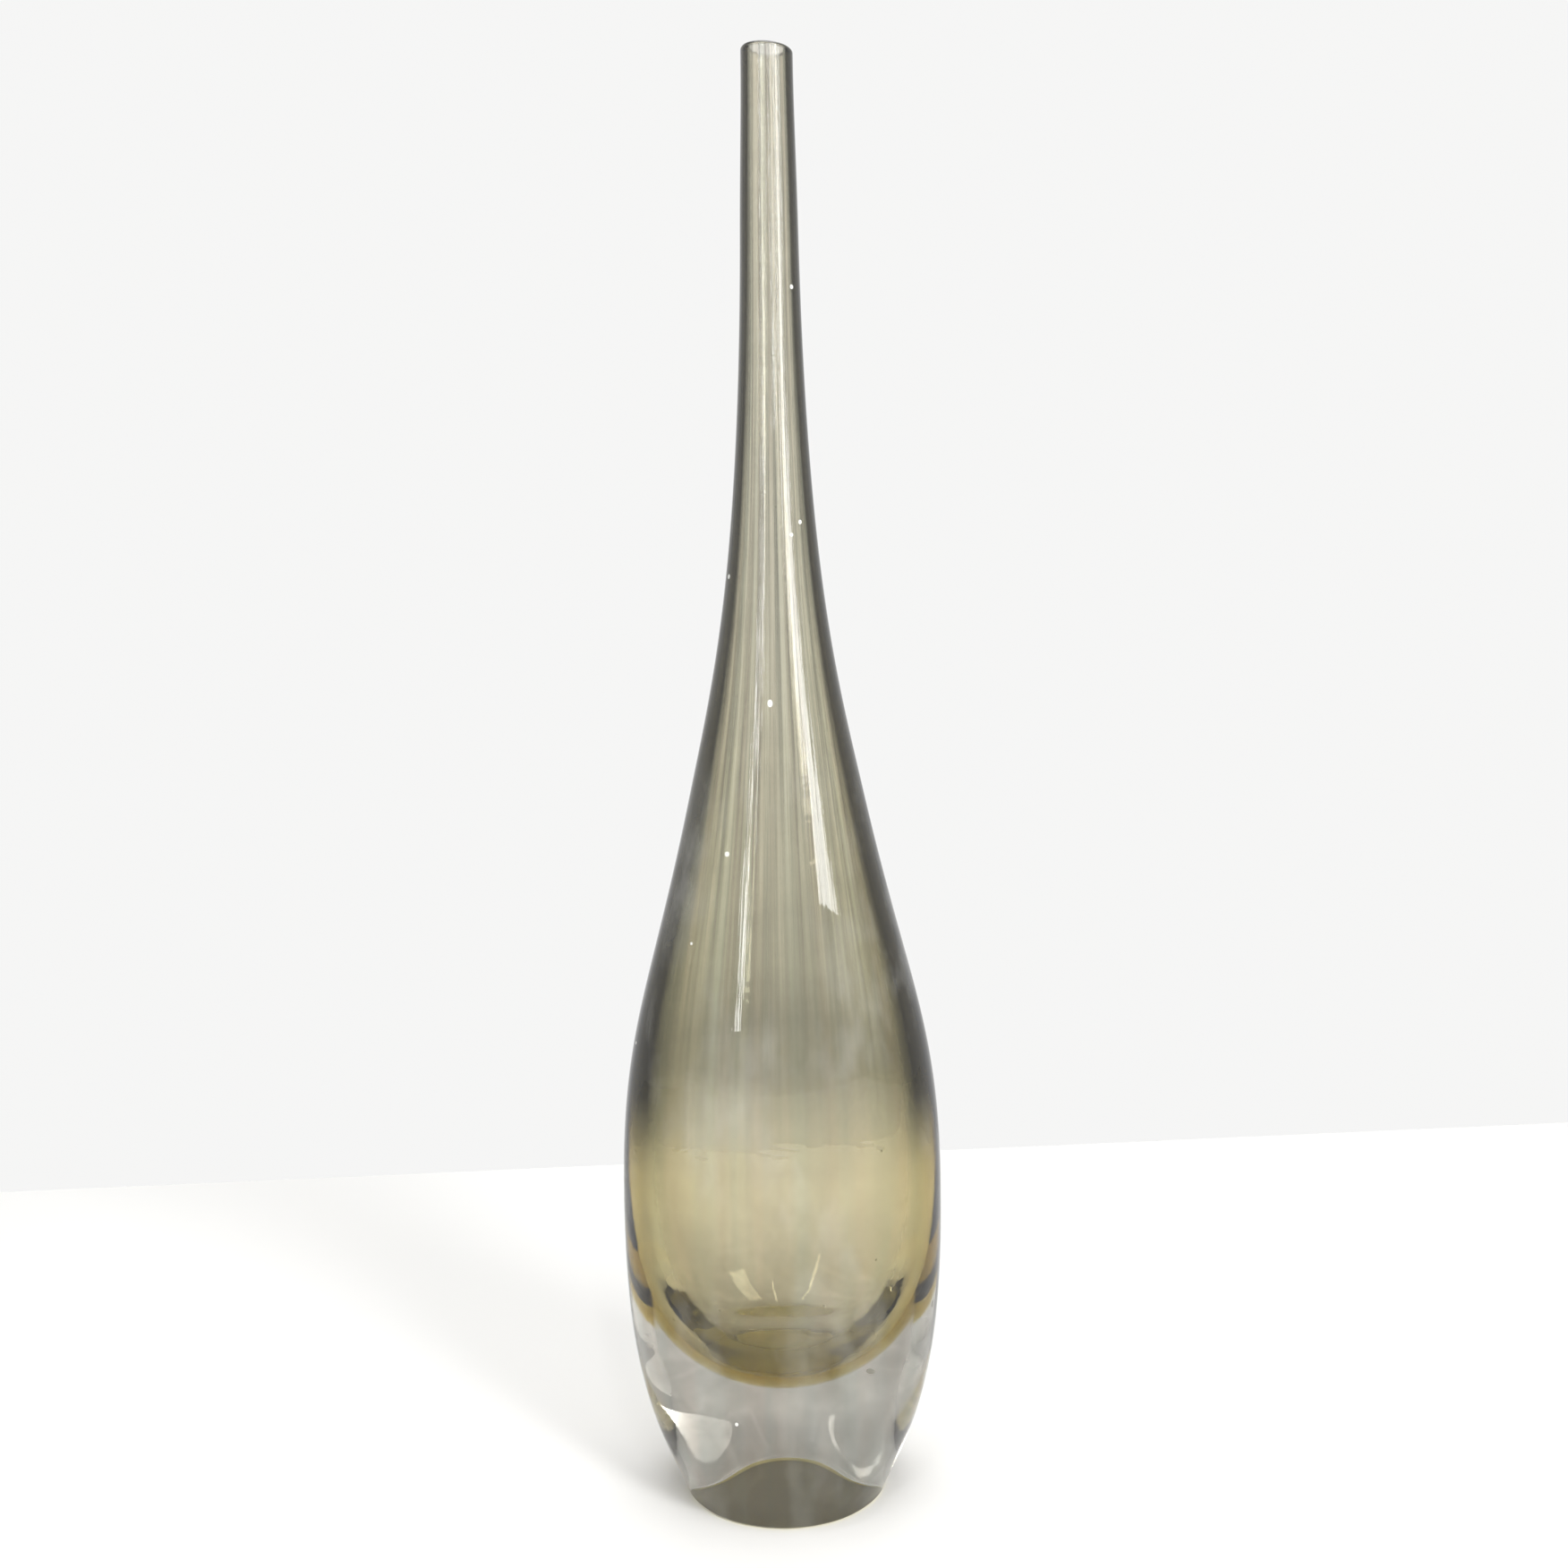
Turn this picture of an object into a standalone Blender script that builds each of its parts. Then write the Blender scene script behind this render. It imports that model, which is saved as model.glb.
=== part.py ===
"""A tall cased glass vase: a clear outer casing, thick at the base, over a straw-coloured lining.

Both layers are turned about +Z, and the body is then flattened along Y. The foot, the neck and the
mouth stay round. Units are metres, and the origin is the centre of the flat foot.
"""

import math

import bpy
import numpy as np

COLLECTION_NAME = "art_glass_vase"

# Heights of the outer form, each counted from the one below
BELLY_HEIGHT = 0.0903
BELLY_TO_SHOULDER = 0.1237
SHOULDER_TO_NECK = 0.1766
NECK_TO_LIP = 0.0594

# Radii of the outer form across its width, and where it is round
FOOT_RADIUS = 0.0316
BELLY_RADIUS = 0.0500
SHOULDER_RADIUS = 0.0277
NECK_RADIUS = 0.0093
MOUTH_RADIUS = 0.0083

# Half the depth of the flattened body, from front to back
BELLY_HALF_DEPTH = 0.0332
SHOULDER_HALF_DEPTH = 0.0215

# The heel, where the solid base stays a little deeper than the flattened body above it
HEEL_HEIGHT = 0.0360
HEEL_SWELL = 0.0017

# The ground edge of the foot
FOOT_EDGE_WIDTH = 0.0010
FOOT_EDGE_HEIGHT = 0.0010

# How far each curve keeps its direction, as shares of the height or radius step that it spans
FOOT_RISE_SHARE = 0.21
FOOT_FLARE_SHARE = 0.51
BELLY_BELOW_SHARE = 0.63
BELLY_ABOVE_SHARE = 0.415
SHOULDER_BELOW_SHARE = 0.49
SHOULDER_ABOVE_SHARE = 0.20
NECK_BELOW_SHARE = 0.60
NECK_ABOVE_SHARE = 0.385
LIP_BELOW_SHARE = 0.325

# Radius or half depth lost per unit of height where the shoulder is straightest, and at the neck
SHOULDER_TAPER_SHARE = 0.22
SHOULDER_DEPTH_TAPER_SHARE = 0.12
NECK_TAPER_SHARE = 0.013

# Glass thickness of each layer, measured level and before the body is flattened
CASING_AT_MOUTH = 0.0014
CASING_AT_BELLY = 0.0052
LINING_AT_MOUTH = 0.0008
LINING_AT_BELLY = 0.0035

# Clear glass under the lining, and the lining's own floor
BASE_THICKNESS = 0.0340
LINING_FLOOR = 0.0029

# The two layers are one melt in the glass, and their solids keep this clearance
LAYER_CLEARANCE = 0.0004

# Height above the foot where both inner surfaces start to round into their floors
WELL_TOP = 0.1050

# How far the pocket and the bore keep straight down, and level, before they round
POCKET_SIDE_SHARE = 0.82
POCKET_FLOOR_SHARE = 0.42
BORE_SIDE_SHARE = 0.84
BORE_FLOOR_SHARE = 0.48

# Points of a turned mesh that lie closer than this are one
MERGE_DISTANCE = 0.00005

# Finish of each layer
CLEAR_COLOUR = (0.90, 0.91, 0.90)
STRAW_COLOUR = (0.78, 0.72, 0.46)
POLISH = 0.02

# Facets
TURN_STEPS = 48
OUTER_POINTS = (9, 9, 9, 4)
WELL_POINTS = 12
EDGE_POINTS = 3
LIP_POINTS = 4

shoulder_height = BELLY_HEIGHT + BELLY_TO_SHOULDER
neck_height = shoulder_height + SHOULDER_TO_NECK
vase_height = neck_height + NECK_TO_LIP


def curve_points(start, start_handle, end_handle, end, count):
    """Points of a cubic curve from its start to its end, both included."""
    t = np.linspace(0.0, 1.0, count + 1)[:, None]
    corners = np.array([start, start_handle, end_handle, end], float)
    weights = ((1 - t) ** 3, 3 * (1 - t) ** 2 * t, 3 * (1 - t) * t**2, t**3)
    return sum(weight * corner for weight, corner in zip(weights, corners))


def arc_points(centre, radii, start_angle, end_angle, count):
    """Points of a quarter ellipse about a centre, both ends included."""
    angles = np.linspace(start_angle, end_angle, count + 1)
    return np.column_stack((
        centre[0] + radii[0] * np.cos(angles),
        centre[1] + radii[1] * np.sin(angles),
    ))


def joined(*runs):
    """Runs of points end to end, with the point that two runs share kept once."""
    points = [runs[0]]
    for run in runs[1:]:
        points.append(run[1:])
    return np.vstack(points)


def outer_wall(belly, shoulder, taper):
    """The outer side from just above the foot's ground edge up to the start of the lip.

    The belly and the shoulder are this far from the axis, and the shoulder has this taper.
    """
    foot_top = FOOT_EDGE_HEIGHT
    lip_start = vase_height - CASING_AT_MOUTH
    below = BELLY_HEIGHT - foot_top
    above = BELLY_TO_SHOULDER
    fall = SHOULDER_BELOW_SHARE * above
    rise = SHOULDER_ABOVE_SHARE * SHOULDER_TO_NECK
    hold = NECK_BELOW_SHARE * SHOULDER_TO_NECK
    reach = NECK_ABOVE_SHARE * NECK_TO_LIP
    bowl = curve_points(
        (FOOT_RADIUS, foot_top),
        (FOOT_RADIUS + FOOT_FLARE_SHARE * (belly - FOOT_RADIUS), foot_top + FOOT_RISE_SHARE * below),
        (belly, BELLY_HEIGHT - BELLY_BELOW_SHARE * below),
        (belly, BELLY_HEIGHT),
        OUTER_POINTS[0],
    )
    waist = curve_points(
        (belly, BELLY_HEIGHT),
        (belly, BELLY_HEIGHT + BELLY_ABOVE_SHARE * above),
        (shoulder + taper * fall, shoulder_height - fall),
        (shoulder, shoulder_height),
        OUTER_POINTS[1],
    )
    throat = curve_points(
        (shoulder, shoulder_height),
        (shoulder - taper * rise, shoulder_height + rise),
        (NECK_RADIUS + NECK_TAPER_SHARE * hold, neck_height - hold),
        (NECK_RADIUS, neck_height),
        OUTER_POINTS[2],
    )
    neck = curve_points(
        (NECK_RADIUS, neck_height),
        (NECK_RADIUS - NECK_TAPER_SHARE * reach, neck_height + reach),
        (MOUTH_RADIUS, lip_start - LIP_BELOW_SHARE * NECK_TO_LIP),
        (MOUTH_RADIUS, lip_start),
        OUTER_POINTS[3],
    )
    return joined(bowl, waist, throat, neck)


def layer_at(radius, at_mouth, at_belly):
    """A layer's thickness where the vase has this outer radius: thin at the mouth, thick at the belly."""
    share = np.clip((radius - MOUTH_RADIUS) / (BELLY_RADIUS - MOUTH_RADIUS), 0.0, 1.0)
    return at_mouth + (at_belly - at_mouth) * share


def well_to_mouth(wall, thickness_at, floor_height, side_share, floor_share):
    """An inner surface from the middle of its floor up to the lip, a thickness in from the outer wall."""
    radii, heights = wall.T
    inset = radii - thickness_at(radii)
    top_radius = np.interp(WELL_TOP, heights, inset)
    upper = np.column_stack((inset, heights))[heights > WELL_TOP]
    lean = (upper[0, 0] - top_radius) / (upper[0, 1] - WELL_TOP)
    side = side_share * (WELL_TOP - floor_height)
    well = curve_points(
        (0.0, floor_height),
        (floor_share * top_radius, floor_height),
        (top_radius - lean * side, WELL_TOP - side),
        (top_radius, WELL_TOP),
        WELL_POINTS,
    )
    return np.vstack((well, upper))


def moved_inwards(points, distance):
    """An inner surface moved square to itself, towards the axis and up from its floor."""
    along = np.gradient(points, axis=0)
    along[0] = (1.0, 0.0)
    along[-1] = (0.0, 1.0)
    along /= np.linalg.norm(along, axis=1)[:, None]
    return points + distance * np.column_stack((-along[:, 1], along[:, 0]))


def depth_shares(wall):
    """The body's depth for its width at each point of the wall: flattened, with a swelling at the heel."""
    heights = wall[:, 1]
    half_depths = outer_wall(BELLY_HALF_DEPTH, SHOULDER_HALF_DEPTH, SHOULDER_DEPTH_TAPER_SHARE)[:, 0]
    swell = np.sin(math.pi * np.minimum(heights / HEEL_HEIGHT, 1.0)) ** 2
    return (half_depths + HEEL_SWELL * swell) / wall[:, 0]


def flatten(piece, heights, shares):
    """Applies a piece's Screw modifier, then brings its points in along Y by the share at each height."""
    whole = bpy.data.meshes.new_from_object(piece.evaluated_get(bpy.context.evaluated_depsgraph_get()))
    for point in whole.vertices:
        point.co.y *= np.interp(point.co.z, heights, shares)
    piece.modifiers.clear()
    piece.data = whole


def turned(name, profile, colour):
    """A named object: a profile in the XZ plane with a Screw modifier about +Z."""
    mesh = bpy.data.meshes.new(name)
    points = [(radius, 0.0, height) for radius, height in profile]
    mesh.from_pydata(points, [(i, i + 1) for i in range(len(points) - 1)], [])
    piece = bpy.data.objects.new(name, mesh)
    turn = piece.modifiers.new("turn", "SCREW")
    turn.axis = "Z"
    turn.angle = math.tau
    turn.screw_offset = 0.0
    turn.steps = TURN_STEPS
    turn.render_steps = TURN_STEPS
    turn.use_merge_vertices = True
    turn.merge_threshold = MERGE_DISTANCE
    turn.use_smooth_shade = True
    mesh.materials.append(glass(name, colour))
    return piece


def glass(name, colour):
    """A plain see-through material in a layer's colour."""
    material = bpy.data.materials.new(name)
    material.use_nodes = True
    shader = material.node_tree.nodes["Principled BSDF"]
    shader.inputs["Base Color"].default_value = (*colour, 1.0)
    shader.inputs["Metallic"].default_value = 0.0
    shader.inputs["Roughness"].default_value = POLISH
    shader.inputs["Transmission Weight"].default_value = 1.0
    material.diffuse_color = (*colour, 1.0)
    return material


def clear_casing(wall):
    """The clear outer layer: solid base, pocket for the lining, rounded lip and flat ground foot."""
    def thickness_at(radii):
        return layer_at(radii, CASING_AT_MOUTH, CASING_AT_BELLY)

    pocket = well_to_mouth(wall, thickness_at, BASE_THICKNESS, POCKET_SIDE_SHARE, POCKET_FLOOR_SHARE)
    lip_start = wall[-1, 1]
    straight = np.array([pocket[-1], (pocket[-1, 0], vase_height)])
    lip = arc_points(
        (pocket[-1, 0], lip_start), (CASING_AT_MOUTH, CASING_AT_MOUTH), math.pi / 2, 0.0, LIP_POINTS
    )
    flat_radius = FOOT_RADIUS - FOOT_EDGE_WIDTH
    edge = arc_points(
        (flat_radius, FOOT_EDGE_HEIGHT), (FOOT_EDGE_WIDTH, FOOT_EDGE_HEIGHT), 0.0, -math.pi / 2, EDGE_POINTS
    )
    foot = np.array([edge[-1], (0.0, 0.0)])
    profile = joined(pocket, straight, lip, wall[::-1], edge, foot)
    return turned("clear_casing", profile, CLEAR_COLOUR), pocket


def straw_lining(wall, pocket):
    """The straw-coloured inner layer, open at the mouth, that lines the pocket down to its floor."""
    def thickness_at(radii):
        casing = layer_at(radii, CASING_AT_MOUTH, CASING_AT_BELLY)
        return casing + LAYER_CLEARANCE + layer_at(radii, LINING_AT_MOUTH, LINING_AT_BELLY)

    floor_height = BASE_THICKNESS + LAYER_CLEARANCE + LINING_FLOOR
    bore = well_to_mouth(wall, thickness_at, floor_height, BORE_SIDE_SHARE, BORE_FLOOR_SHARE)
    back = moved_inwards(pocket, LAYER_CLEARANCE)
    lip_start = bore[-1, 1]
    lip_width = back[-1, 0] - bore[-1, 0]
    lip = arc_points(
        (back[-1, 0], lip_start), (lip_width, vase_height - lip_start), math.pi, math.pi / 2, LIP_POINTS
    )
    profile = joined(bore, lip, np.vstack((lip[-1], back[::-1])))
    return turned("straw_lining", profile, STRAW_COLOUR)


def build():
    for old in list(bpy.data.objects):
        bpy.data.objects.remove(old, do_unlink=True)
    vase = bpy.data.collections.new(COLLECTION_NAME)
    bpy.context.scene.collection.children.link(vase)
    stand = bpy.data.objects.new("vase_stand_point", None)
    vase.objects.link(stand)
    wall = outer_wall(BELLY_RADIUS, SHOULDER_RADIUS, SHOULDER_TAPER_SHARE)
    shares = depth_shares(wall)
    casing, pocket = clear_casing(wall)
    for piece in (casing, straw_lining(wall, pocket)):
        piece.parent = stand
        vase.objects.link(piece)
        flatten(piece, wall[:, 1], shares)


build()
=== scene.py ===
import math

import bpy
import numpy as np
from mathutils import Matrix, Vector


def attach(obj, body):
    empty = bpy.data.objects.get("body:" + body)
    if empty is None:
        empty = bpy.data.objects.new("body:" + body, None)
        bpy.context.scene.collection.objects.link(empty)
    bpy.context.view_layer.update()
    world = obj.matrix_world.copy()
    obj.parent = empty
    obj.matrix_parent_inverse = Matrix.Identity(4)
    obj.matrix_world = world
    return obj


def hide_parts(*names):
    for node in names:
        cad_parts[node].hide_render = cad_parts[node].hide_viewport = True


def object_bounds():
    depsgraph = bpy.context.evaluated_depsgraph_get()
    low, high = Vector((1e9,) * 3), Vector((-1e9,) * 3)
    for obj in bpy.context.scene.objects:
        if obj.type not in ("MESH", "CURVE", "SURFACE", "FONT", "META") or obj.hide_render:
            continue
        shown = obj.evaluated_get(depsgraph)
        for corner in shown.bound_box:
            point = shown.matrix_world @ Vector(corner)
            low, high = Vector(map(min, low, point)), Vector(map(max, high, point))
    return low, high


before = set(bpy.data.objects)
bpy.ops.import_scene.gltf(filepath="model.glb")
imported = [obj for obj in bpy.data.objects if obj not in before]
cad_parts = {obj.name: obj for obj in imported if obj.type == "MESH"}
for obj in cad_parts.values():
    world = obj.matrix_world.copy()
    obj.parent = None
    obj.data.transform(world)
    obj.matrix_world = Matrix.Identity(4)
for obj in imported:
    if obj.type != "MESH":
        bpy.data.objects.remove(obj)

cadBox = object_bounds()
vaseTop = cadBox[1].z
bellyRadius = 0.5 * (cadBox[1].x - cadBox[0].x)
print("frame loaded:", sorted(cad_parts), "height", round(vaseTop, 4))


# A socket whose operators add Math nodes, so that a mask reads like arithmetic
class Sock:
    def __init__(self, tree, out):
        self.tree = tree
        self.out = out

    def join(self, operation, other, swapped=False):
        node = self.tree.nodes.new("ShaderNodeMath")
        node.operation = operation
        pair = (other, self) if swapped else (self, other)
        for slot, value in zip(node.inputs, pair):
            if isinstance(value, Sock):
                self.tree.links.new(value.out, slot)
            else:
                slot.default_value = value
        return Sock(self.tree, node.outputs[0])

    def __add__(self, other):
        return self.join("ADD", other)

    def __radd__(self, other):
        return self.join("ADD", other, True)

    def __sub__(self, other):
        return self.join("SUBTRACT", other)

    def __rsub__(self, other):
        return self.join("SUBTRACT", other, True)

    def __mul__(self, other):
        return self.join("MULTIPLY", other)

    def __rmul__(self, other):
        return self.join("MULTIPLY", other, True)

    def __truediv__(self, other):
        return self.join("DIVIDE", other)


# One material's node tree, with a single method for every other node
class Shading:
    def __init__(self, name):
        self.material = bpy.data.materials.new(name)
        self.material.use_nodes = True
        self.tree = self.material.node_tree
        self.tree.nodes.clear()
        self.output = self.tree.nodes.new("ShaderNodeOutputMaterial")

    def node(self, kind, settings=None, values=None, out=0):
        made = self.tree.nodes.new(kind)
        for key, value in (settings or {}).items():
            if key == "stops":
                self.fillRamp(made.color_ramp, value)
            else:
                setattr(made, key, value)
        for key, value in (values or {}).items():
            if isinstance(value, Sock):
                self.tree.links.new(value.out, made.inputs[key])
            else:
                made.inputs[key].default_value = value
        return Sock(self.tree, made.outputs[out])

    def fillRamp(self, ramp, stops):
        while len(ramp.elements) > 1:
            ramp.elements.remove(ramp.elements[-1])
        ramp.elements[0].position, ramp.elements[0].color = stops[0]
        for place, colour in stops[1:]:
            ramp.elements.new(place).color = colour

    def surface(self, sock):
        self.tree.links.new(sock.out, self.output.inputs["Surface"])
        return self.material

    def volume(self, sock):
        self.tree.links.new(sock.out, self.output.inputs["Volume"])

    def place(self):
        return self.node("ShaderNodeTexCoord", out=3)

    def noise(self, scale, stretch=(1.0, 1.0, 1.0), detail=2.0, roughness=0.5):
        where = self.node("ShaderNodeMapping", values={"Vector": self.place(), "Scale": stretch})
        return self.node(
            "ShaderNodeTexNoise",
            values={"Vector": where, "Scale": scale, "Detail": detail, "Roughness": roughness})

    # Goes from one value of a pair to the other while the input crosses another pair
    def span(self, value, between, to=(0.0, 1.0), smooth=False):
        kind = "SMOOTHSTEP" if smooth else "LINEAR"
        return self.node("ShaderNodeMapRange", {"interpolation_type": kind}, {
            "Value": value, "From Min": between[0], "From Max": between[1], "To Min": to[0], "To Max": to[1]})

    def blend(self, share, first, second):
        return self.node("ShaderNodeMix", {"data_type": "RGBA"}, {0: share, 6: first, 7: second}, out=2)

    def vector(self, operation, *inputs):
        return self.node("ShaderNodeVectorMath", {"operation": operation}, dict(enumerate(inputs)))

    def part(self, vector, axis):
        return self.node("ShaderNodeSeparateXYZ", values={"Vector": vector}, out=axis)


# The vase's form in metres, as the CAD solids have it. Shares are of the step that each curve spans.
vaseForm = {
    "bellyHeight": 0.0903, "bellyToShoulder": 0.1237, "shoulderToNeck": 0.1766,
    "footRadius": 0.0316, "shoulderRadius": 0.0277, "neckRadius": 0.0093, "mouthRadius": 0.0083,
    "bellyDepth": 0.0332, "shoulderDepth": 0.0215, "shoulderDepthTaper": 0.12,
    "heelSwell": 0.0017, "heelHeight": 0.036,
    "footEdgeWidth": 0.0010, "footEdgeHeight": 0.0010,
    "footRiseShare": 0.21, "footFlareShare": 0.51, "bellyBelowShare": 0.63, "bellyAboveShare": 0.415,
    "shoulderBelowShare": 0.49, "shoulderAboveShare": 0.20, "neckBelowShare": 0.60,
    "neckAboveShare": 0.385, "lipBelowShare": 0.325, "shoulderTaper": 0.22, "neckTaper": 0.013,
    "casingAtMouth": 0.0014, "casingAtBelly": 0.0052, "liningAtMouth": 0.0008, "liningAtBelly": 0.0035,
    "baseThickness": 0.0340, "liningFloor": 0.0029, "clearance": 0.0004, "wellTop": 0.105,
    "pocketSideShare": 0.82, "pocketFloorShare": 0.42, "boreSideShare": 0.84, "boreFloorShare": 0.48,
    "seam": 0.00002, "lipSlant": 0.09, "lipReach": 0.02, "waver": 0.0003, "waverRadius": 0.03,
    "outerRows": (70, 80, 80, 36), "wellRows": 90, "roundRows": 10, "turnColumns": 160,
}


# Cubic curve: (1-t)^3 a + 3(1-t)^2 t b + 3(1-t) t^2 c + t^3 d for t from 0 to 1
def cubicCurve(a, b, c, d, rows):
    t = np.linspace(0.0, 1.0, rows + 1)[:, None]
    a, b, c, d = (np.array(p, float) for p in (a, b, c, d))
    return (1 - t) ** 3 * a + 3 * (1 - t) ** 2 * t * b + 3 * (1 - t) * t * t * c + t**3 * d


# Ellipse arc: centre + (radiusX cos angle, radiusZ sin angle)
def ellipseArc(centre, radii, start, end, rows):
    angle = np.linspace(start, end, rows + 1)
    return np.column_stack((centre[0] + radii[0] * np.cos(angle), centre[1] + radii[1] * np.sin(angle)))


def endToEnd(*runs):
    return np.vstack([runs[0]] + [run[1:] for run in runs[1:]])


# Outer side from the foot's ground edge to the lip: four cubic curves that share their end directions
def outerSide(form, belly, shoulder, taper):
    shoulderHeight = form["bellyHeight"] + form["bellyToShoulder"]
    neckHeight = shoulderHeight + form["shoulderToNeck"]
    lipStart = vaseTop - form["casingAtMouth"]
    neckToLip = vaseTop - neckHeight
    foot = (form["footRadius"], form["footEdgeHeight"])
    below = form["bellyHeight"] - foot[1]
    fall = form["shoulderBelowShare"] * form["bellyToShoulder"]
    rise = form["shoulderAboveShare"] * form["shoulderToNeck"]
    hold = form["neckBelowShare"] * form["shoulderToNeck"]
    reach = form["neckAboveShare"] * neckToLip
    flare = form["footFlareShare"] * (belly - foot[0])
    rows = form["outerRows"]
    bowl = cubicCurve(
        foot, (foot[0] + flare, foot[1] + form["footRiseShare"] * below),
        (belly, form["bellyHeight"] - form["bellyBelowShare"] * below),
        (belly, form["bellyHeight"]), rows[0])
    waist = cubicCurve(
        bowl[-1], (belly, form["bellyHeight"] + form["bellyAboveShare"] * form["bellyToShoulder"]),
        (shoulder + taper * fall, shoulderHeight - fall),
        (shoulder, shoulderHeight), rows[1])
    throat = cubicCurve(
        waist[-1], (shoulder - taper * rise, shoulderHeight + rise),
        (form["neckRadius"] + form["neckTaper"] * hold, neckHeight - hold),
        (form["neckRadius"], neckHeight), rows[2])
    neck = cubicCurve(
        throat[-1], (form["neckRadius"] - form["neckTaper"] * reach, neckHeight + reach),
        (form["mouthRadius"], lipStart - form["lipBelowShare"] * neckToLip),
        (form["mouthRadius"], lipStart), rows[3])
    return endToEnd(bowl, waist, throat, neck)


# Inner surface: the outer side moved in by a thickness, then a cubic well down to the middle of its floor
def innerSide(form, wall, thickness, floorHeight, sideShare, floorShare):
    inset = wall[:, 0] - thickness(wall[:, 0])
    topRadius = np.interp(form["wellTop"], wall[:, 1], inset)
    upper = np.column_stack((inset, wall[:, 1]))[wall[:, 1] > form["wellTop"]]
    lean = (upper[0, 0] - topRadius) / (upper[0, 1] - form["wellTop"])
    side = sideShare * (form["wellTop"] - floorHeight)
    well = cubicCurve(
        (0.0, floorHeight), (floorShare * topRadius, floorHeight),
        (topRadius - lean * side, form["wellTop"] - side), (topRadius, form["wellTop"]), form["wellRows"])
    return np.vstack((well, upper))


def layerAt(form, radius, atMouth, atBelly):
    share = np.clip((radius - form["mouthRadius"]) / (bellyRadius - form["mouthRadius"]), 0.0, 1.0)
    return atMouth + (atBelly - atMouth) * share


# A profile turned about Z, then flattened. x = (r + waver) cos a, y = (r + waver) sin a * depth / width,
# with one vertex at each pole
def turnedMesh(name, profile, columns, fusedRows, waver):
    radius, height = profile[1:-1].T
    angle = np.linspace(0.0, 2 * math.pi, columns, endpoint=False)
    rr = radius[:, None] + waver(radius[:, None], height[:, None], angle[None, :])
    flat = np.interp(height, wall[:, 1], depthWall[:, 0] / wall[:, 0])[:, None]
    # The cut mouth slants: height - slant * (x + mouth radius), fading out below the lip
    near = np.clip((height[:, None] - vaseTop) / vaseForm["lipReach"] + 1.0, 0.0, 1.0)
    drop = vaseForm["lipSlant"] * near * (rr * np.cos(angle) + vaseForm["mouthRadius"])
    points = np.stack((rr * np.cos(angle), rr * flat * np.sin(angle), height[:, None] - drop), -1)
    rows = len(radius)
    poles = np.array([(0.0, 0.0, profile[0, 1]), (0.0, 0.0, profile[-1, 1])])
    verts = np.vstack((points.reshape(-1, 3), poles))
    row, column = np.meshgrid(np.arange(rows - 1), np.arange(columns), indexing="ij")
    after = (column + 1) % columns
    quads = np.stack((row * columns + column, (row + 1) * columns + column,
                      (row + 1) * columns + after, row * columns + after), -1).reshape(-1, 4)
    ring = np.arange(columns)
    following = (ring + 1) % columns
    first = np.stack((np.full(columns, rows * columns), ring, following), -1)
    lastRing = (rows - 1) * columns
    last = np.stack((np.full(columns, rows * columns + 1), lastRing + following, lastRing + ring), -1)
    corners = np.concatenate((quads.ravel(), first.ravel(), last.ravel()))
    starts = np.concatenate((np.arange(len(quads)) * 4, len(quads) * 4 + np.arange(2 * columns) * 3))
    mesh = bpy.data.meshes.new(name)
    mesh.vertices.add(len(verts))
    mesh.vertices.foreach_set("co", verts.ravel())
    mesh.loops.add(len(corners))
    mesh.loops.foreach_set("vertex_index", corners)
    mesh.polygons.add(len(starts))
    mesh.polygons.foreach_set("loop_start", starts)
    mesh.update(calc_edges=True)
    mesh.validate()
    # 1 on faces that meet air, 0 on those fused to the other layer
    faceRow = np.concatenate((
        np.repeat(np.arange(rows - 1), columns), np.zeros(columns, int), np.full(columns, rows)))
    open_ = np.ones(len(starts), np.float32)
    open_[np.isin(faceRow, fusedRows)] = 0.0
    skin = mesh.attributes.new("meetsAir", "FLOAT", "FACE")
    skin.data.foreach_set("value", open_)
    mesh.shade_smooth()
    piece = bpy.data.objects.new(name, mesh)
    bpy.context.scene.collection.objects.link(piece)
    return piece


# Hand-made waver, never outward: -depth * (1 - mean of slow waves of angle and height) / 2
def handWaver(form, phase=0.4):
    def waver(radius, height, angle):
        waves = (np.sin(3 * angle + 21.0 * height + phase) + np.sin(5 * angle - 34.0 * height + 2.1 * phase)
                 + np.sin(2 * angle + 61.0 * height + 0.7 * phase) + np.sin(11 * angle + 9.0 * height)) / 4
        return -0.5 * form["waver"] * (1.0 - waves) * np.clip(radius / form["waverRadius"], 0.0, 1.0)
    return waver


# Clear outer glass: pocket wall up, round lip, outer side down, ground edge, flat foot
def makeCasing(form, wall):
    def thickness(radius):
        return layerAt(form, radius, form["casingAtMouth"], form["casingAtBelly"])

    pocket = innerSide(
        form, wall, thickness, form["baseThickness"], form["pocketSideShare"], form["pocketFloorShare"])
    rim = form["casingAtMouth"]
    straight = np.array([pocket[-1], (pocket[-1, 0], vaseTop)])
    lip = ellipseArc((pocket[-1, 0], wall[-1, 1]), (rim, rim), math.pi / 2, 0.0, form["roundRows"])
    flat = form["footRadius"] - form["footEdgeWidth"]
    edge = ellipseArc(
        (flat, form["footEdgeHeight"]), (form["footEdgeWidth"], form["footEdgeHeight"]),
        0.0, -math.pi / 2, form["roundRows"])
    foot = np.array([edge[-1], (0.0, 0.0)])
    profile = endToEnd(pocket, straight, lip, wall[::-1], edge, foot)
    fused = np.arange(len(pocket) - 1)
    return turnedMesh("clearCasing", profile, form["turnColumns"], fused, handWaver(form)), pocket


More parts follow.
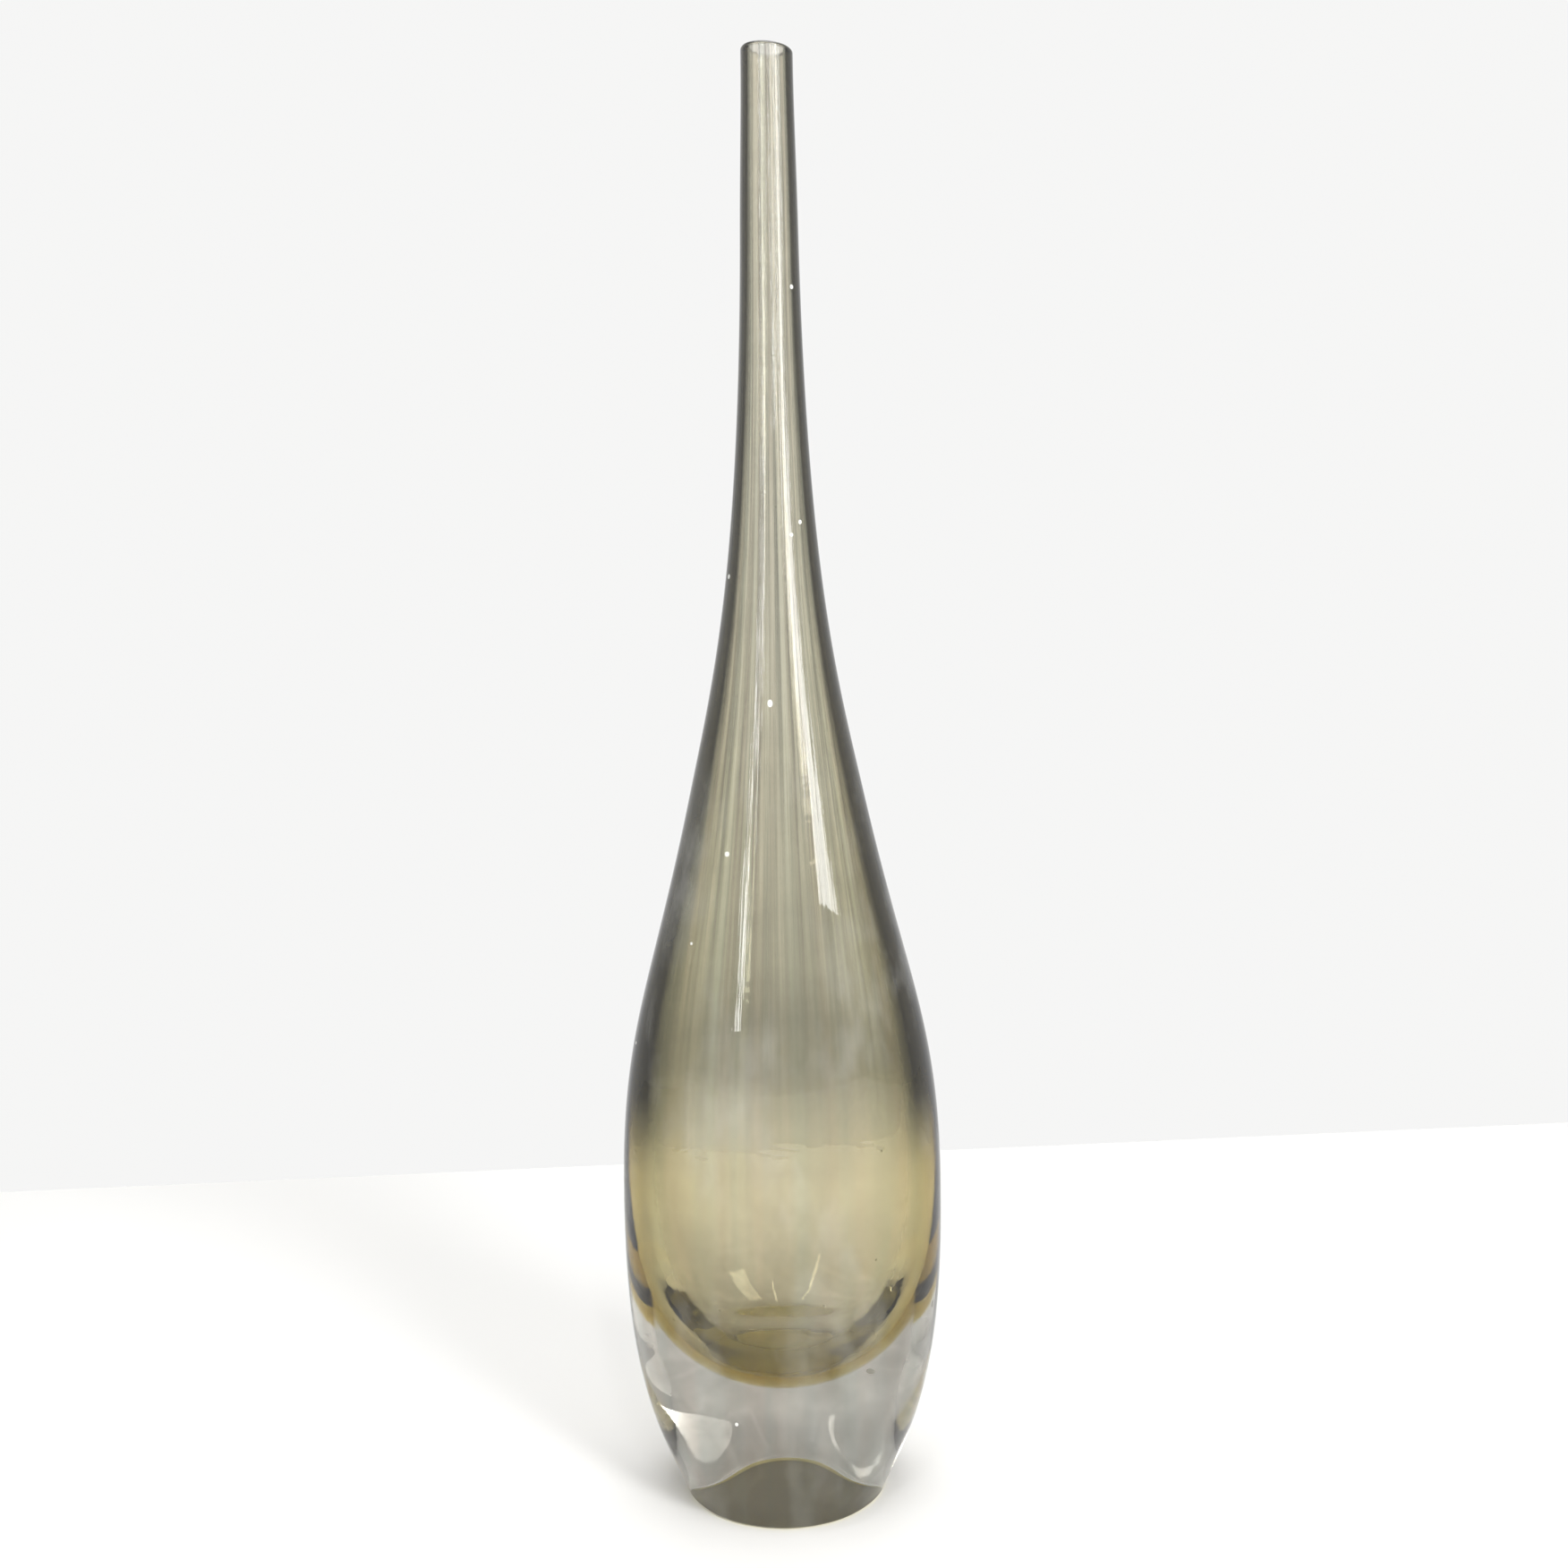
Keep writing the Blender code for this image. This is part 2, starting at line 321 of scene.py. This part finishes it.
# Straw inner glass: bore up from its floor, round lip, then the back that is fused to the casing
def makeLining(form, wall, pocket):
    gap = form["clearance"]

    def thickness(radius):
        casing = layerAt(form, radius, form["casingAtMouth"], form["casingAtBelly"])
        return casing + gap + layerAt(form, radius, form["liningAtMouth"], form["liningAtBelly"])

    floorHeight = form["baseThickness"] + gap + form["liningFloor"]
    bore = innerSide(form, wall, thickness, floorHeight, form["boreSideShare"], form["boreFloorShare"])
    # The back stands off the pocket by a seam, square to it, so that the two skins never cross
    along = np.gradient(pocket, axis=0)
    along[0] = (1.0, 0.0)
    along /= np.linalg.norm(along, axis=1)[:, None]
    back = pocket + form["seam"] * np.column_stack((-along[:, 1], along[:, 0]))
    width = back[-1, 0] - bore[-1, 0]
    lip = ellipseArc(
        (back[-1, 0], bore[-1, 1]), (width, vaseTop - bore[-1, 1]), math.pi, math.pi / 2, form["roundRows"])
    profile = endToEnd(bore, lip, np.vstack((lip[-1], back[::-1])))
    fused = np.arange(len(bore) + len(lip) - 2, len(profile))
    return turnedMesh("strawLining", profile, form["turnColumns"], fused, handWaver(form))


# Heights are in metres above the foot. Each pair of heights, noise or facing is where a change starts and ends.
glassLook = {
    "ior": 1.5,
    # Tint by height as a share of the vase's, from the foot up: partly a smoky tint of the glass, partly
    # painted shade, the grey of a dim room seen through the glass set into the tint
    "smokeAndPaintedShade": [
        (0.0, (0.41, 0.395, 0.36, 1.0)), (0.10, (0.37, 0.355, 0.32, 1.0)), (0.17, (0.64, 0.62, 0.585, 1.0)),
        (0.225, (0.71, 0.69, 0.665, 1.0)), (0.26, (0.52, 0.525, 0.53, 1.0)), (0.30, (0.34, 0.345, 0.36, 1.0)),
        (0.37, (0.64, 0.65, 0.66, 1.0)), (0.50, (0.91, 0.905, 0.90, 1.0)), (1.0, (0.94, 0.92, 0.885, 1.0))],
    "streaksRound": 8.0, "streaksUp": 3.0, "streakDetail": 4.0, "streakRoughness": 0.62,
    # Painted reflection streaks: the tint darkens between lighter lines up the wall
    "paintedStreakNoise": (0.62, 0.38), "paintedStreakHeights": (0.10, 0.22), "paintedStreakDepth": (0.06, 0.72),
    "streakRelief": 0.00012, "reliefHeights": (0.06, 0.18), "reliefStrength": (0.12, 1.0),
    "cordScale": 0.55, "cordNoise": (0.42, 0.58),
    "warmStreak": (1.0, 0.965, 0.94, 1.0), "coolStreak": (0.94, 0.985, 0.975, 1.0),
    "swirlScale": 26.0, "swirlDetail": 1.5, "swirlBend": 1.6, "swirlWidth": 0.09,
    "swirlHeights": (0.070, 0.045), "swirlDepth": 0.22,
    "mottleScale": 42.0, "mottleStretch": (0.6, 0.6, 1.6), "mottleDetail": 3.0, "mottleRoughness": 0.55,
    "mottleNoise": (0.35, 0.65), "mottleDepth": 0.10, "boreRelief": 0.00025,
    # Rim: painted shade at the edges of the glass, where the wall turns away
    "rimShadeFacing": (0.12, 0.38), "rimShadeHeights": (0.085, 0.125), "rimShadeLow": 0.10,
    "rimShadeColour": (0.008, 0.0075, 0.005, 1.0),
    "hazeScale": 34.0, "hazeStretch": (1.0, 1.0, 0.45), "hazeDetail": 5.0, "hazeRoughness": 0.62,
    "hazeNoise": (0.50, 0.72), "hazeHeights": (0.26, 0.19), "hazeShare": 0.16,
    "hazeAndGlintColour": (0.80, 0.80, 0.76, 1.0), "limeRoughness": 0.7,
    # Seeds: pale dots as painted glints of air bubbles, in the haze's pale colour
    "seedScale": 62.0, "seedSize": 0.05, "seedShare": 0.35, "seedGlintPaleness": 0.85,
    "bigSeeds": [(-0.0016, 0.2438, 0.0008), (0.0084, 0.2994, 0.0005), (0.0068, 0.3727, 0.0005)],
    "bigSeedStretch": (1.0, 0.0, 0.7),
    # Ground underside: painted glow looked at squarely, painted shade aslant
    "groundTop": 0.0003, "groundShare": 0.96, "groundShadeFacing": (0.35, 0.58), "groundRoughness": 0.6,
    "groundPaintedGlow": (0.86, 0.785, 0.38, 1.0), "groundPaintedShade": (0.36, 0.335, 0.23, 1.0),
    "strawColour": (0.83, 0.73, 0.24, 1.0), "strawDensity": 150.0,
    "dregsColour": (0.62, 0.54, 0.22, 1.0), "dregsHeights": (0.062, 0.042), "dregsShare": 0.12,
    "dregsScale": 90.0, "dregsDetail": 4.0, "dregsNoise": (0.35, 0.65), "dregsLeast": 0.6,
}


# Slow cloudy noise, longer sideways than up
def slowNoise(s, look):
    return s.noise(look["mottleScale"], look["mottleStretch"], look["mottleDetail"], look["mottleRoughness"])


# Tint of the clear glass: smoke and painted room shade by height * cord * painted rim shade * painted
# reflection streaks * mottle * swirls
def clearTint(s, look, height, turn, streak, turned):
    # Smoke and painted shade: the grey of a dim room seen through the glass is painted into this tint by height
    smokeAndPaintedShade = s.node("ShaderNodeValToRGB", {"stops": look["smokeAndPaintedShade"]}, {"Fac": height / vaseTop})
    # Cord: neighbouring streaks lean a little warm or cool
    cord = s.node("ShaderNodeTexNoise", values={"Vector": turn, "Scale": look["cordScale"], "Detail": 2.0})
    hue = s.blend(s.span(cord, look["cordNoise"]), look["warmStreak"], look["coolStreak"])
    # Rim: painted shade that darkens the wall where it turns away, most above the straw bowl, in place of the
    # dark surroundings that glass edges show by refraction
    limbShade = s.span(turned, look["rimShadeFacing"], smooth=True)
    reach = s.span(height, look["rimShadeHeights"], (look["rimShadeLow"], 1.0), smooth=True)
    rim = s.blend(limbShade * reach, (1.0, 1.0, 1.0, 1.0), look["rimShadeColour"])
    # Painted reflection streaks: lighter and darker lines up the wall in place of reflections
    depth = s.span(height, look["paintedStreakHeights"], look["paintedStreakDepth"])
    paintedStreaks = 1.0 - depth * s.span(streak, look["paintedStreakNoise"])
    mottle = 1.0 - look["mottleDepth"] * s.span(slowNoise(s, look), look["mottleNoise"])
    # Swirls in the thick base: thin bright ridges where a warped noise crosses its middle
    warped = s.node("ShaderNodeTexNoise", values={
        "Vector": s.place(), "Scale": look["swirlScale"], "Detail": look["swirlDetail"],
        "Distortion": look["swirlBend"]})
    ridge = s.span((warped - 0.5).join("ABSOLUTE", 0.0), (0.0, look["swirlWidth"]), (1.0, 0.0), smooth=True)
    inBase = s.span(height, look["swirlHeights"], (0.0, look["swirlDepth"]), smooth=True)
    toned = s.vector("MULTIPLY", s.vector("MULTIPLY", smokeAndPaintedShade, hue), rim)
    return s.node("ShaderNodeVectorMath", {"operation": "SCALE"}, {
        0: toned, "Scale": paintedStreaks * mottle * (1.0 + ridge * inBase)})


# Seeds: small pale dots, painted glints of air bubbles in the glass, in a few cells of a Voronoi pattern, and
# three larger ones
#  in the front wall, each a round spot of its own radius about its x and height
def seedGlintMask(s, look, spot):
    cells = {"Vector": spot, "Scale": look["seedScale"]}
    fromMiddle = s.node("ShaderNodeTexVoronoi", values=cells)
    draw = s.part(s.node("ShaderNodeTexVoronoi", values=cells, out=1), 0)
    seeds = fromMiddle.join("LESS_THAN", look["seedSize"]) * draw.join("LESS_THAN", look["seedShare"])
    front = s.part(spot, 1).join("LESS_THAN", 0.0)
    for across, up, radius in look["bigSeeds"]:
        offset = s.vector("MULTIPLY", s.vector("SUBTRACT", spot, (across, 0.0, up)), look["bigSeedStretch"])
        away = s.node("ShaderNodeVectorMath", {"operation": "LENGTH"}, {0: offset}, out=1)
        seeds = seeds.join("MAXIMUM", away.join("LESS_THAN", radius) * front)
    return seeds


def clearGlass(look):
    s = Shading("clearGlass")
    skin = s.node("ShaderNodeAttribute", {"attribute_name": "meetsAir"}, out=2)
    spot = s.place()
    height = s.part(spot, 2)
    # Streaks: noise on (direction from the axis * streaks round, height * streaks up), so it runs up the wall.
    # It gives the wall's relief bumps and the painted reflection streaks in the tint.
    outward = s.vector("NORMALIZE", s.vector("MULTIPLY", spot, (1.0, 1.0, 0.0)))
    rise = s.node("ShaderNodeCombineXYZ", values={"Z": height * look["streaksUp"]})
    turn = s.vector("MULTIPLY_ADD", outward, (look["streaksRound"],) * 3, rise)
    streak = s.node("ShaderNodeTexNoise", values={
        "Vector": turn, "Scale": 1.0, "Detail": look["streakDetail"], "Roughness": look["streakRoughness"]})
    turned = s.node("ShaderNodeLayerWeight", values={"Blend": 0.5}, out=1)
    tint = clearTint(s, look, height, turn, streak, turned)
    swell = s.span(height, look["reliefHeights"], look["reliefStrength"])
    relief = s.node("ShaderNodeBump", values={
        "Height": streak * swell, "Strength": 1.0, "Distance": look["streakRelief"]})
    glass = s.node("ShaderNodeBsdfPrincipled", values={
        "Base Color": tint, "Roughness": 0.0, "IOR": look["ior"],
        "Transmission Weight": 1.0, "Alpha": skin, "Normal": relief})
    # Haze: soft patches of lime film on the body, joined by the seeds' painted glints, which share its pale
    # coat
    cloud = s.noise(look["hazeScale"], look["hazeStretch"], look["hazeDetail"], look["hazeRoughness"])
    film = s.span(cloud, look["hazeNoise"], (0.0, look["hazeShare"]))
    haze = film * s.span(height, look["hazeHeights"], smooth=True)
    hazeAndGlints = haze.join("MAXIMUM", seedGlintMask(s, look, spot) * look["seedGlintPaleness"]) * skin
    limeAndGlintCoat = s.node("ShaderNodeBsdfPrincipled", values={
        "Base Color": look["hazeAndGlintColour"], "Roughness": look["limeRoughness"]})
    hazed = s.node("ShaderNodeMixShader", values={0: hazeAndGlints, 1: glass, 2: limeAndGlintCoat})
    # The underside is ground glass, coloured with painted light and shade: a bright olive painted glow looked
    # at squarely, and dull painted shade aslant, where the table under the foot lies in shadow
    ground = height.join("LESS_THAN", look["groundTop"]) * look["groundShare"]
    grain = s.blend(s.span(turned, look["groundShadeFacing"]), look["groundPaintedGlow"], look["groundPaintedShade"])
    groundGlowAndShade = s.node("ShaderNodeBsdfPrincipled", values={
        "Base Color": grain, "Roughness": look["groundRoughness"]})
    return s.surface(s.node("ShaderNodeMixShader", values={0: ground, 1: hazed, 2: groundGlowAndShade}))


# Colourless surface, with the straw colour in the depth of the glass
def strawGlass(look):
    s = Shading("strawGlass")
    skin = s.node("ShaderNodeAttribute", {"attribute_name": "meetsAir"}, out=2)
    ripple = s.node("ShaderNodeBump", values={
        "Height": slowNoise(s, look), "Strength": 1.0, "Distance": look["boreRelief"]})
    body = s.node("ShaderNodeBsdfPrincipled", values={
        "Base Color": (1.0, 1.0, 1.0, 1.0), "Roughness": 0.0, "IOR": look["ior"],
        "Transmission Weight": 1.0, "Alpha": skin, "Normal": ripple})
    s.volume(s.node("ShaderNodeVolumeAbsorption", values={
        "Color": look["strawColour"], "Density": look["strawDensity"]}))
    # Dregs: a thin dull film that dried on the floor of the bore, broken up by noise
    low = s.span(s.part(s.place(), 2), look["dregsHeights"], (0.0, look["dregsShare"]), smooth=True)
    spots = s.noise(look["dregsScale"], detail=look["dregsDetail"])
    patchy = s.span(spots, look["dregsNoise"], (look["dregsLeast"], 1.0))
    film = s.node("ShaderNodeBsdfPrincipled", values={
        "Base Color": look["dregsColour"], "Roughness": look["limeRoughness"]})
    return s.surface(s.node("ShaderNodeMixShader", values={0: low * patchy * skin, 1: body, 2: film}))


wall = outerSide(vaseForm, bellyRadius, vaseForm["shoulderRadius"], vaseForm["shoulderTaper"])
depthWall = outerSide(
    vaseForm, vaseForm["bellyDepth"], vaseForm["shoulderDepth"], vaseForm["shoulderDepthTaper"])
# Heel: the depth grows by swell * sin^2(pi z / heel height) up to the heel's top
heel = np.sin(math.pi * np.minimum(depthWall[:, 1] / vaseForm["heelHeight"], 1.0))
depthWall[:, 0] += vaseForm["heelSwell"] * heel**2
casing, pocket = makeCasing(vaseForm, wall)
casing.data.materials.append(clearGlass(glassLook))
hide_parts("clear_casing")
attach(casing, "root")
lining = makeLining(vaseForm, wall, pocket)
lining.data.materials.append(strawGlass(glassLook))
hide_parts("straw_lining")
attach(lining, "root")
print("glass made:", len(casing.data.polygons), len(lining.data.polygons), "faces")


# Plain studio: pale table top, pale surround, soft lamps
studio = {
    "tableHalfWidth": 1.1, "tableNear": 1.0, "tableFar": (0.21, 0.42), "tableThickness": 0.02,
    "tableGap": 0.0002, "tableColour": (0.93, 0.925, 0.91, 1.0),
    "tableGrain": 60.0, "tableGrainDetail": 3.0, "tableRoughness": (0.5, 0.7),
    # From straight down (0) to straight up (1)
    "surround": [
        (0.0, (0.80, 0.80, 0.79, 1.0)), (0.35, (0.92, 0.92, 0.915, 1.0)),
        (0.75, (0.92, 0.92, 0.915, 1.0)), (1.0, (0.74, 0.74, 0.73, 1.0))],
    "plainLight": (0.50, 0.50, 0.495, 1.0),
    # Name, place, aim, size, watts
    "lamps": [
        ("keyWindow", (0.75, -0.9, 0.75), (0.0, 0.0, 0.2), (0.35, 0.9), 12.0),
        ("topBox", (0.0, 0.1, 1.3), (0.0, 0.0, 0.2), (0.8, 0.8), 7.5),
        ("leftStrip", (-0.45, -0.9, 0.62), (0.0, 0.0, 0.3), (0.05, 1.0), 2.6),
        ("middleStrip", (0.16, -1.1, 0.95), (0.0, 0.0, 0.3), (0.05, 0.8), 2.2)],
    # Focal length, frame side, horizon row and vase column in the photo's pixels, then metres and degrees
    "focal": 1845.7, "frameSide": 1752.0, "horizonRow": 705.3, "axisColumn": 865.5,
    "distance": 0.520, "eyeHeight": 0.2657, "roll": 0.8, "sensor": 36.0,
}


# A wide pale top whose far edge runs a little askew behind the vase
def makeTable(values):
    wide, near = values["tableHalfWidth"], values["tableNear"]
    leftFar, rightFar = values["tableFar"]
    top = [(-wide, -near), (wide, -near), (wide, rightFar), (-wide, leftFar)]
    verts = [(x, y, -drop) for drop in (values["tableGap"], values["tableThickness"]) for x, y in top]
    faces = [(0, 1, 2, 3), (7, 6, 5, 4)] + [(i, i + 4, (i + 1) % 4 + 4, (i + 1) % 4) for i in range(4)]
    mesh = bpy.data.meshes.new("tableTop")
    mesh.from_pydata(verts, [], faces)
    table = bpy.data.objects.new("tableTop", mesh)
    bpy.context.scene.collection.objects.link(table)
    s = Shading("tablePaint")
    # Satin paint: the gloss wanders a little
    grain = s.noise(values["tableGrain"], detail=values["tableGrainDetail"])
    satin = s.span(grain, (0.0, 1.0), values["tableRoughness"])
    mesh.materials.append(s.surface(s.node("ShaderNodeBsdfPrincipled", values={
        "Base Color": values["tableColour"], "Roughness": satin})))


# The pale surround that the camera, gloss and glass all see, a little deeper overhead and underfoot.
# Everything else is lit by a plain even world.
def makeSurround(values):
    world = bpy.data.worlds.new("surround")
    bpy.context.scene.world = world
    world.use_nodes = True
    s = Shading.__new__(Shading)
    s.tree = world.node_tree
    s.tree.nodes.clear()
    output = s.tree.nodes.new("ShaderNodeOutputWorld")
    way = s.node("ShaderNodeTexCoord")
    upward = s.part(way, 2)
    picture = s.node("ShaderNodeValToRGB", {"stops": values["surround"]}, {"Fac": 0.5 * upward + 0.5})
    camera, glossy, through = (s.node("ShaderNodeLightPath", out=name) for name in (
        "Is Camera Ray", "Is Glossy Ray", "Is Transmission Ray"))
    seen = (camera + glossy + through).join("MINIMUM", 1.0)
    colour = s.blend(seen, values["plainLight"], picture)
    back = s.node("ShaderNodeBackground", values={"Color": colour, "Strength": 1.0})
    s.tree.links.new(back.out, output.inputs["Surface"])


def softbox(name, place, aim, size, power):
    light = bpy.data.lights.new(name, "AREA")
    light.shape = "RECTANGLE"
    light.size, light.size_y = size
    light.energy = power
    lamp = bpy.data.objects.new(name, light)
    lamp.location = place
    lamp.rotation_euler = (Vector(aim) - Vector(place)).to_track_quat("-Z", "Y").to_euler()
    bpy.context.scene.collection.objects.link(lamp)


# The photo's viewpoint, worked out from its rows and columns
def makeCamera(values):
    focal, side, away = values["focal"], values["frameSide"], values["distance"]
    data = bpy.data.cameras.new("viewpoint")
    data.sensor_width = values["sensor"]
    data.lens = values["sensor"] * focal / side
    data.shift_y = (values["horizonRow"] - 0.5 * side) / side
    camera = bpy.data.objects.new("viewpoint", data)
    camera.location = ((0.5 * side - values["axisColumn"]) / focal * away, -away, values["eyeHeight"])
    camera.rotation_euler = (math.radians(90.0), math.radians(values["roll"]), 0.0)
    bpy.context.scene.collection.objects.link(camera)
    bpy.context.scene.camera = camera


makeTable(studio)
makeSurround(studio)
for lamp in studio["lamps"]:
    softbox(*lamp)
makeCamera(studio)
print("studio made:", len(studio["lamps"]), "lamps")
bpy.context.scene.view_settings.view_transform = "Standard"
